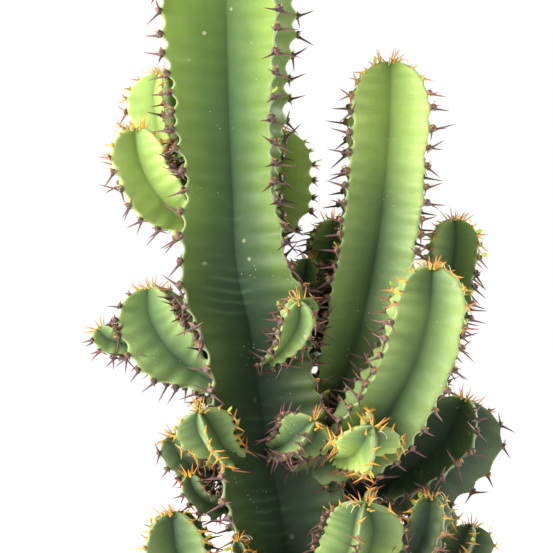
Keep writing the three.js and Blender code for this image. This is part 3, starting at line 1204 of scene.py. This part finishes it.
class Armour:
    """The shields, spines and dry flakes of the whole plant."""

    def __init__(
        self,
        skins: dict[str, bpy.types.Object],
        horn: bpy.types.Material,
        leaf: bpy.types.Material,
        straw: bpy.types.Material,
    ) -> None:
        """Models each form once.

        Args:
            skins: The skin of each stem by node.
            horn: Material of spines and shields.
            leaf: Material of leaflets.
            straw: Material of dried flower stalks.
        """
        self.horn, self.leaf, self.straw = horn, leaf, straw
        self.skins = {node: self.enclosure(skin) for node, skin in skins.items()}
        self.spine, self.knob, self.chip = spine_shape(), knob_shape(), chip_shape()
        self.blade, self.stalk = leaf_shape(), stalk_shape()
        self.leaves, self.stalks = Crowd(), Crowd()

    @staticmethod
    def enclosure(skin: bpy.types.Object) -> tuple[np.ndarray, np.ndarray, BVHTree]:
        """Gives a skin's box corners and a search tree over its faces.

        Args:
            skin: The skin piece.

        Returns:
            The low corner, the high corner and the tree.
        """
        mesh = skin.data
        corners = np.empty(len(mesh.vertices) * 3)
        mesh.vertices.foreach_get("co", corners)
        corners = corners.reshape(-1, 3)
        faces = [tuple(face.vertices) for face in mesh.polygons]
        tree = BVHTree.FromPolygons(corners.tolist(), faces)
        return corners.min(0), corners.max(0), tree

    def arm(self, stem: Stem) -> None:
        """Sets shields, spines, flakes, leaflets and stalks on one stem.

        Args:
            stem: The stem to dress.
        """
        crowd = Crowd()
        for rib in range(RIBS):
            feet, outs, overs, ups = stem.shield_frames(rib)
            marks = stem.ribs[rib]
            for k, below in enumerate(marks.below):
                if self.buried(stem.node, feet[k] + outs[k] * 0.5 * MM):
                    continue
                youth = float(np.clip(1.15 - below / stem.habit.youth_length, 0, 1))
                self.arm_shield(crowd, stem, marks, k, (feet[k], outs[k], overs[k], ups[k]), youth)
        self.crown(crowd, stem)
        crowd.finish(f"{stem.node}_spines", self.horn, Slot.SPINE)

    def buried(self, node: str, spot: np.ndarray) -> bool:
        """Tells whether a spot lies inside another stem.

        Args:
            node: The stem the spot belongs to.
            spot: The place.

        Returns:
            Whether some other stem's skin encloses it.
        """
        for name, (low, high, tree) in self.skins.items():
            if name == node or (spot < low).any() or (spot > high).any():
                continue
            nearest, normal, _, _ = tree.find_nearest(Vector(spot))
            if (Vector(spot) - nearest).dot(normal) < 0:
                return True
        return False

    def arm_shield(
        self,
        crowd: Crowd,
        stem: Stem,
        marks: Rib,
        k: int,
        ways: tuple[np.ndarray, np.ndarray, np.ndarray, np.ndarray],
        youth: float,
    ) -> None:
        """Sets one shield with its pair of spines.

        Args:
            crowd: Where the copies gather.
            stem: The stem it stands on.
            marks: The shields of its rib.
            k: The shield's number on the rib.
            ways: Its foot and its out, over and up ways.
            youth: 1 at the tip and 0 where the spines are old.
        """
        rng = stem.rng
        foot, out, over, up = ways
        size = float(marks.size[k])
        tone = float(rng.uniform())
        turn = float(marks.turn[k])
        level = over * math.cos(turn) + up * math.sin(turn)
        plumb = up * math.cos(turn) - over * math.sin(turn)
        wide = stem.spine_length * 0.42 * size * (1 - 0.42 * youth)
        seat = foot + out * 0.12 * wide
        crowd.add(
            self.knob,
            stand(seat, out, level, (wide * 1.0, wide * 1.2, wide * 0.95)),
            youth=youth, tone=tone, horn=0.0,
        )
        droop = rng.normal(0.26, 0.2)
        lean = unit(out * math.cos(droop) - plumb * math.sin(droop))
        for hand in (-1.0, 1.0):
            spread = rng.normal(0.95, 0.13)
            length = stem.spine_length * size * rng.uniform(0.88, 1.12) * (1 - 0.30 * youth)
            thick = stem.spine_length * 0.92 * (1 - 0.25 * youth)
            way = lean * math.cos(spread) + level * hand * math.sin(spread)
            heel = seat - plumb * 0.22 * wide + level * hand * 0.2 * wide
            crowd.add(
                self.spine,
                stand(heel, way, -lean, (thick, thick, length)),
                youth=youth, tone=tone, horn=1.0,
            )
        for _ in range(int(rng.integers(1, 4))):
            aside = rng.uniform(-0.3, 0.3, 2)
            spot = seat + plumb * wide * (0.35 + aside[0]) + level * wide * aside[1] + out * wide * 0.3
            way = out + plumb * rng.uniform(-0.6, 0.9) + level * rng.uniform(-0.8, 0.8)
            flake = wide * rng.uniform(0.28, 0.55)
            crowd.add(
                self.chip, stand(spot, way, level, (flake, flake, flake)),
                youth=youth, tone=float(rng.uniform()), horn=2.0,
            )
        if rng.uniform() < 0.05 + 0.12 * youth:
            long = rng.uniform(2.6, 4.4) * MM
            way = out + plumb * rng.uniform(0.1, 1.0) + level * rng.uniform(-0.7, 0.7)
            self.leaves.add(self.blade, stand(seat + plumb * wide * 0.5, way, level, (long, long, long)))

    def crown(self, crowd: Crowd, stem: Stem) -> None:
        """Sets the tuft of young spines and curled stalks on a stem's tip.

        Args:
            crowd: Where the spines gather.
            stem: The stem to crown.
        """
        rng = stem.rng
        centre, rib, way = (rows[0] for rows in stem.line.frames(np.array([0.6 * MM])))
        side = np.cross(way, rib)
        spread = min(0.34 * stem.full, 6.5 * MM)
        for _ in range(int(6 + stem.full / (2.8 * MM))):
            heading = rng.uniform(0, 2 * math.pi)
            outward = rib * math.cos(heading) + side * math.sin(heading)
            far = rng.uniform(0.1, 1.0)
            foot = centre + outward * spread * far - way * 0.9 * MM * far
            lean = way + outward * rng.uniform(0.15, 1.25)
            length = stem.spine_length * rng.uniform(0.45, 0.95)
            thick = 0.62 * stem.spine_length
            crowd.add(
                self.spine, stand(foot, lean, outward, (thick, thick, length)),
                youth=float(rng.uniform(0.75, 1.0)), tone=float(rng.uniform()), horn=1.0,
            )
        for _ in range(stem.habit.stalks):
            heading = rng.uniform(0, 2 * math.pi)
            outward = rib * math.cos(heading) + side * math.sin(heading)
            tall = rng.uniform(4.5, 8.0) * MM
            foot = centre + outward * spread * rng.uniform(0.2, 0.9) - way * 0.6 * MM
            lean = way + outward * rng.uniform(0.0, 0.6)
            self.stalks.add(self.stalk, stand(foot, lean, outward, (tall, tall, tall)))

    def finish(self) -> None:
        """Gathers the leaflets and the dried stalks of all stems."""
        self.leaves.finish("leaflets", self.leaf, Slot.LEAFLET)
        self.stalks.finish("dried_flower_stalks", self.straw, Slot.LEAFLET)


# ---- pot and soil ----


@dataclass
class Pot:
    """The tapered clay pot with a rim band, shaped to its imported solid."""

    sides: int = 128
    edge: float = 3 * MM
    rim_band: float = 26 * MM
    wall: float = 6 * MM
    drain_radius: float = 5 * MM
    drain_circle: float = 34 * MM

    def __post_init__(self) -> None:
        """Takes the pot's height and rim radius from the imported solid."""
        low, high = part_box("pot")
        self.height = high.z - low.z
        self.rim_radius = high.x
        self.base_radius = float(max(v.co.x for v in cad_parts["pot"].data.vertices if v.co.z < 0.005))

    def profile(self) -> list[tuple[float, float]]:
        """Gives the outline from the foot up outside, over the rim and down inside.

        Returns:
            Radius and height pairs.
        """
        body_top = self.height - self.rim_band
        top_radius = self.rim_radius - 9 * MM
        rise = [(self.base_radius - self.edge * 0.3, self.edge * 0.3), (self.base_radius, self.edge)]
        for share in np.linspace(0.08, 1.0, 14):
            height = self.edge + (body_top - self.edge) * share
            radius = self.base_radius + (top_radius - self.base_radius) * share
            rise.append((radius + 0.12 * MM * math.sin(share * 55), height))
        neck = self.rim_radius - 0.9 * self.edge
        rise += [(neck - 1 * MM, body_top + 0.5 * MM), (neck + 0.6 * MM, body_top + 1.2 * MM)]
        rise += [(neck + 1.3 * MM, body_top + 3 * MM), (self.rim_radius - 1.1 * MM, body_top + 9 * MM)]
        lip = 0.5 * (self.wall - 0.6 * MM)
        for angle in np.linspace(0, math.pi, 9):
            height = self.height - self.edge * (1 - math.sin(angle))
            rise.append((self.rim_radius - lip + lip * math.cos(angle), height))
        inner = top_radius - self.wall
        rise += [(inner + 3.4 * MM, self.height - 14 * MM), (inner + 1.5 * MM, body_top + 3 * MM)]
        rise += [(inner, body_top - 3 * MM), (self.base_radius - self.wall, self.wall + 3 * MM)]
        return [*rise, (self.base_radius - self.wall - 3 * MM, self.wall)]

    def build(self, materials: dict[Slot, bpy.types.Material]) -> None:
        """Raises the wall from a disc, ring by ring, and drills the drain holes.

        Args:
            materials: Finished materials by slot.
        """
        deselect()
        foot = self.base_radius - self.edge
        bpy.ops.mesh.primitive_circle_add(vertices=self.sides, radius=foot, fill_type="NGON")
        piece = bpy.context.object
        piece.name = "clay_pot"
        bpy.ops.object.mode_set(mode="EDIT")
        before = (foot, 0.0)
        for radius, height in self.profile():
            bpy.ops.mesh.extrude_region_move(TRANSFORM_OT_translate={"value": (0, 0, height - before[1])})
            grow = radius / before[0]
            bpy.ops.transform.resize(value=(grow, grow, 1), center_override=(0, 0, height))
            before = (radius, height)
        bpy.ops.mesh.select_all(action="SELECT")
        bpy.ops.mesh.normals_make_consistent(inside=False)
        bpy.ops.object.mode_set(mode="OBJECT")
        for k in range(3):
            heading = math.radians(90 + 120 * k)
            at = (self.drain_circle * math.cos(heading), self.drain_circle * math.sin(heading), 0)
            self.drill(piece, at)
        take(piece)
        bpy.ops.object.shade_smooth_by_angle(angle=math.radians(40))
        piece.data.materials.append(materials[Slot.CLAY])
        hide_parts("pot")
        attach(piece, BODY)
        LOG.info("clay_pot: %d faces", len(piece.data.polygons))

    def drill(self, piece: bpy.types.Object, at: tuple[float, float, float]) -> None:
        """Cuts one drain hole through the pot's floor.

        Args:
            piece: The pot.
            at: The hole's middle.
        """
        deselect()
        bpy.ops.mesh.primitive_cylinder_add(
            vertices=24, radius=self.drain_radius, depth=4 * self.wall, location=at
        )
        tool = bpy.context.object
        cut = piece.modifiers.new("drain", "BOOLEAN")
        cut.operation = "DIFFERENCE"
        cut.solver = "EXACT"
        cut.object = tool
        take(piece)
        bpy.ops.object.modifier_apply(modifier=cut.name)
        bpy.data.objects.remove(tool)


@dataclass
class Soil:
    """Lumpy potting soil with grit and pale pumice lying on it."""

    around: int = 160
    rows: int = 64
    lump: float = 1.5 * MM
    stones: int = 330
    seed: int = 11

    def __post_init__(self) -> None:
        """Takes the soil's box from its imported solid."""
        self.low, self.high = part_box("potting_soil")
        self.radius = self.high.x
        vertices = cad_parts["potting_soil"].data.vertices
        self.edge_level = max(v.co.z for v in vertices if v.co.xy.length > self.radius * 0.98)
        self.base_radius = max(v.co.xy.length for v in vertices if v.co.z < self.low.z + 1 * MM)
        self.rng = np.random.default_rng(self.seed)

    def level(self, x: float, y: float) -> float:
        """Gives the soil's height at a place.

        Args:
            x: Distance to the right.
            y: Distance to the back.

        Returns:
            The surface height.
        """
        out = math.hypot(x, y) / self.radius
        mound = self.edge_level + (self.high.z - self.edge_level) * (1 - min(1.0, out * 1.1) ** 2)
        spot = Vector((x, y, 0.0))
        lumps = noise.fractal(spot * 120, 1.0, 2.0, 4) + 0.35 * noise.noise(spot * 420)
        return mound + self.lump * lumps * (1 - 0.6 * ease(np.array(out), 0.93, 1.0))

    def build(self, materials: dict[Slot, bpy.types.Material]) -> None:
        """Builds the soil body, the grit and the pumice.

        Args:
            materials: Finished materials by slot.
        """
        headings = np.linspace(0, 2 * math.pi, self.around + 1)
        headings[-1] = 0
        bottom = self.low.z
        rings = [(0.0, bottom), (self.base_radius, bottom), (self.base_radius + 0.5 * MM, bottom + 1 * MM)]
        rings += [(self.radius, self.edge_level - 3 * MM)]
        top = [self.radius * (1 - t) for t in np.linspace(0, 1, self.rows)]
        places = np.zeros((len(rings) + len(top), self.around + 1, 3))
        for row, (radius, height) in enumerate(rings):
            places[row] = [(radius * math.cos(a), radius * math.sin(a), height) for a in headings]
        for row, radius in enumerate(top, len(rings)):
            for column, a in enumerate(headings):
                x, y = radius * math.cos(a), radius * math.sin(a)
                places[row, column] = (x, y, self.level(x, y))
        places[-1] = places[-1].mean(0)
        tone = np.clip(0.5 + (places[:, :, 2] - self.edge_level) / (8 * MM), 0, 1)
        piece = rolled_sheet("soil_bed", places, {"tone": tone})
        piece.data.materials.append(materials[Slot.SOIL])
        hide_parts("potting_soil")
        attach(piece, BODY)
        LOG.info("soil_bed: %d faces", len(piece.data.polygons))
        self.strew(materials)

    def strew(self, materials: dict[Slot, bpy.types.Material]) -> None:
        """Strews small stones over the soil.

        Args:
            materials: Finished materials by slot.
        """
        forms = [self.stone_shape(k) for k in range(4)]
        grit = Crowd()
        for _ in range(self.stones):
            heading = self.rng.uniform(0, 2 * math.pi)
            out = self.radius * math.sqrt(self.rng.uniform(0.05, 0.93))
            x, y = out * math.cos(heading), out * math.sin(heading)
            size = self.rng.uniform(1.6, 4.6) * MM
            foot = np.array([x, y, self.level(x, y) + size * 0.12])
            way = self.rng.normal(0, 0.5, 3) + np.array([0, 0, 1.0])
            hint = self.rng.normal(0, 1, 3)
            flat = self.rng.uniform(0.55, 0.95)
            form = forms[int(self.rng.integers(len(forms)))]
            grit.add(form, stand(foot, way, hint, (size, size * 0.85, size * flat)), tone=self.rng.uniform())
        grit.finish("grit", materials[Slot.GRIT], Slot.GRIT)

    def stone_shape(self, seed: int) -> Shape:
        """Models one stone.

        Args:
            seed: Which of the stones.

        Returns:
            A stone about one unit across.
        """
        deselect()
        bpy.ops.mesh.primitive_ico_sphere_add(subdivisions=2, radius=0.5)
        piece = bpy.context.object
        shift = Vector((seed * 7.3, seed * 1.9, 0.0))
        for vertex in piece.data.vertices:
            vertex.co *= 1 + 0.34 * noise.noise(vertex.co * 2.2 + shift)
        return Shape.from_piece(piece)


# ---- the plant ----


@dataclass
class Plant:
    """All the stems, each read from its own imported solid.

    trunk_ring and arm_ring are how many vertices a whole ring of such a solid has.
    """

    trunk: str = "trunk"
    trunk_ring: int = 24
    arm_ring: int = 16
    others: tuple[str, ...] = ("pot", "potting_soil")
    side_parents: tuple[tuple[str, str], ...] = (
        ("offset_left_outer", "arm_left_middle"),
        ("arm_front_pale", "arm_right_front"),
    )
    # The first value of each habit darkens or pales the whole stem: partly real age, partly painted shade on
    # stems in shadow and painted light on stems in the light.
    habits: tuple[tuple[str, Habit], ...] = (
        ("trunk", Habit(shade_and_wear=0.05, stalks=6)),
        ("arm_right_tall", Habit(shade_and_wear=-0.18, stalks=7)),
        ("arm_right_front", Habit(shade_and_wear=-0.30, youth_length=30 * MM, stalks=14)),
        ("arm_right_back", Habit(shade_and_wear=0.10)),
        ("arm_right_low_broad", Habit(shade_and_wear=0.60, youth_length=4 * MM, stalks=0)),
        ("arm_front_pale", Habit(shade_and_wear=-0.85, youth_length=60 * MM, stalks=2)),
        ("arm_front_low", Habit(shade_and_wear=-0.48, youth_length=10 * MM)),
        ("offset_left_front", Habit(shade_and_wear=-0.30, youth_length=60 * MM, stalks=2)),
        ("offset_front_star", Habit(shade_and_wear=-0.12, youth_length=2 * MM, stalks=0)),
        ("offset_crook_front", Habit(shade_and_wear=-0.32, youth_length=4 * MM, stalks=1)),
        ("offset_left_upper", Habit(shade_and_wear=0.05, youth_length=4 * MM, stalks=0)),
        ("offset_left_lower", Habit(shade_and_wear=0.05, youth_length=4 * MM, stalks=0)),
        ("arm_crook_short", Habit(shade_and_wear=0.28, youth_length=4 * MM, stalks=0)),
        ("arm_crook_back", Habit(shade_and_wear=0.28, youth_length=8 * MM, stalks=0)),
        ("arm_back_pale", Habit(shade_and_wear=-0.45)),
        ("arm_left_high_back", Habit(shade_and_wear=-0.45, stalks=10)),
        ("arm_left_high", Habit(shade_and_wear=-0.35, youth_length=18 * MM, stalks=6)),
        ("arm_left_middle", Habit(shade_and_wear=-0.12, youth_length=4 * MM, stalks=0)),
        ("offset_left_outer", Habit(shade_and_wear=-0.12, youth_length=2 * MM, stalks=0)),
        ("arm_left_low", Habit(shade_and_wear=-0.18, youth_length=30 * MM)),
    )

    def stems(self) -> list[Stem]:
        """Reads every stem and roots each arm in the stem it grows from.

        Returns:
            The stems, with the trunk first.
        """
        names = [name for name in sorted(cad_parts) if name not in self.others]
        names.remove(self.trunk)
        lines = {name: StemLine.read(name, self.arm_ring) for name in names}
        lines[self.trunk] = StemLine.read(self.trunk, self.trunk_ring)
        parents = dict(self.side_parents)
        for name in sorted(names, key=lambda name: name in parents):
            lines[name].rooted(lines[parents.get(name, self.trunk)], neck=0.35)
        habits = dict(self.habits)
        stems = [Stem(self.trunk, Slot.TRUNK, lines[self.trunk], habits[self.trunk], seed=1, half_steps=12)]
        for number, name in enumerate(names, 2):
            stems.append(Stem(name, Slot.ARM, lines[name], habits.get(name, Habit(shade_and_wear=0.2)), seed=number))
        return stems


# ---- stage ----


@dataclass
class Studio:
    """Pale floor, bright surround, soft lights and a level long-lens camera."""

    aim: tuple[float, float, float] = (-16.75 * MM, 0.0, 353.25 * MM)
    distance: float = 1.15
    view_width: float = 276.5 * MM
    sensor: float = 36.0
    ambient: float = 0.40
    floor_side: float = 30.0
    floor_glow: float = 0.64

    def camera(self) -> None:
        """Sets the camera up, level and square to the plant's front."""
        data = bpy.data.cameras.new("camera")
        data.sensor_width = self.sensor
        data.lens = self.sensor * self.distance / self.view_width
        data.clip_start, data.clip_end = 0.05, 20
        camera = bpy.data.objects.new("camera", data)
        bpy.context.scene.collection.objects.link(camera)
        camera.location = (self.aim[0], -self.distance, self.aim[2])
        camera.rotation_euler = (math.radians(90), 0, 0)
        bpy.context.scene.camera = camera

    def light(
        self,
        name: str,
        at: tuple[float, float, float],
        size: float,
        power: float,
        color: tuple[float, float, float],
    ) -> None:
        """Hangs one soft square light that faces the plant.

        Args:
            name: The light's name.
            at: Where it hangs.
            size: Its side.
            power: Its power in watts.
            color: Its colour.
        """
        data = bpy.data.lights.new(name, "AREA")
        data.shape, data.size, data.energy, data.color = "SQUARE", size, power, color
        lamp = bpy.data.objects.new(name, data)
        bpy.context.scene.collection.objects.link(lamp)
        lamp.location = at
        lamp.rotation_euler = (Vector(self.aim) - Vector(at)).to_track_quat("-Z", "Y").to_euler()

    def surround(self) -> None:
        """Lights the plant softly from all round, and shows white behind it."""
        world = bpy.data.worlds.new("surround")
        world.use_nodes = True
        bpy.context.scene.world = world
        board = Board(world.node_tree)
        seen = board.node("ShaderNodeLightPath").outputs["Is Camera Ray"]
        strength = board.math("MULTIPLY_ADD", seen, 1.0 - self.ambient, self.ambient)
        glow = board.node("ShaderNodeBackground", {"Color": (1, 1, 1, 1), "Strength": strength})
        board.node("ShaderNodeOutputWorld", {"Surface": glow.outputs[0]})

    def floor(self) -> None:
        """Lays the pale floor."""
        deselect()
        bpy.ops.mesh.primitive_plane_add(size=self.floor_side, location=(0, 0, -0.2 * MM))
        floor = bpy.context.object
        floor.name = "floor"
        material, board = blank_material("pale_floor")
        cloud = board.noise(3.0, 2.0)
        shade = board.mix(board.step(cloud, 0.3, 0.7), (0.86, 0.86, 0.86, 1), (0.90, 0.90, 0.90, 1))
        finish = {"Base Color": shade, "Roughness": 0.9, "Emission Color": (1, 1, 1, 1)}
        shader = board.node("ShaderNodeBsdfPrincipled", {**finish, "Emission Strength": self.floor_glow})
        board.node("ShaderNodeOutputMaterial", {"Surface": shader.outputs[0]})
        floor.data.materials.append(material)

    def build(self) -> None:
        """Builds the whole stage."""
        bpy.context.scene.view_settings.view_transform = "Standard"
        self.camera()
        self.surround()
        self.light("key_left", (-1.48, -0.78, 1.05), 0.8, 58, (1.0, 0.995, 0.95))
        self.light("back_right", (1.15, 1.0, 0.75), 1.0, 40, (1.0, 1.0, 0.95))
        self.floor()


def make_materials() -> dict[Slot, bpy.types.Material]:
    """Makes the materials of the record's slots.

    Returns:
        Materials by slot.
    """
    pattern = rib_skin_group()
    # The old colours are dark for old skin and also as painted shade low on the plant; the crest colours
    # serve the veins and the painted highlight towards the crests.
    trunk = SkinFinish(
        "trunk_skin",
        young=(0.20, 0.34, 0.035, 1),
        mature=(0.082, 0.155, 0.036, 1),
        old=(0.026, 0.054, 0.024, 1),
        crest=(0.40, 0.53, 0.11, 1),
        veins=0.1,
    )
    arm = SkinFinish(
        "arm_skin",
        young=(0.31, 0.45, 0.095, 1),
        mature=(0.145, 0.235, 0.075, 1),
        old=(0.03, 0.056, 0.028, 1),
        crest=(0.50, 0.61, 0.21, 1),
        bands=0.35,
        veins=0.2,
        translucence=0.34,
    )
    leaf = LeafFinish("leaflet", inner=(0.42, 0.52, 0.04, 1), outer=(0.52, 0.58, 0.07, 1))
    soil = EarthFinish(
        "soil",
        dark=(0.018, 0.012, 0.009, 1),
        light=(0.11, 0.075, 0.05, 1),
        scale=260.0,
        relief=1.2 * MM,
    )
    grit = EarthFinish(
        "grit",
        dark=(0.20, 0.17, 0.14, 1),
        light=(0.72, 0.68, 0.60, 1),
        scale=500.0,
        relief=0.3 * MM,
    )
    return {
        Slot.TRUNK: trunk.material(pattern),
        Slot.ARM: arm.material(pattern),
        Slot.CLAY: ClayFinish().material(),
        Slot.SOIL: soil.material(),
        Slot.GRIT: grit.material(),
        Slot.SPINE: HornFinish().material(),
        Slot.LEAFLET: leaf.material(),
    }


def main() -> None:
    """Builds the plant, its pot and the stage."""
    logging.basicConfig(level=logging.INFO, format="%(name)s %(message)s")
    Studio().build()
    materials = make_materials()
    straw = LeafFinish("straw", inner=(0.50, 0.36, 0.16, 1), outer=(0.80, 0.62, 0.36, 1)).material()
    stems = Plant().stems()
    skins = {stem.node: stem.build_skin(materials) for stem in stems}
    armour = Armour(skins, materials[Slot.SPINE], materials[Slot.LEAFLET], straw)
    for stem in stems:
        armour.arm(stem)
    armour.finish()
    Pot().build(materials)
    Soil().build(materials)


if __name__ == "__main__":
    main()
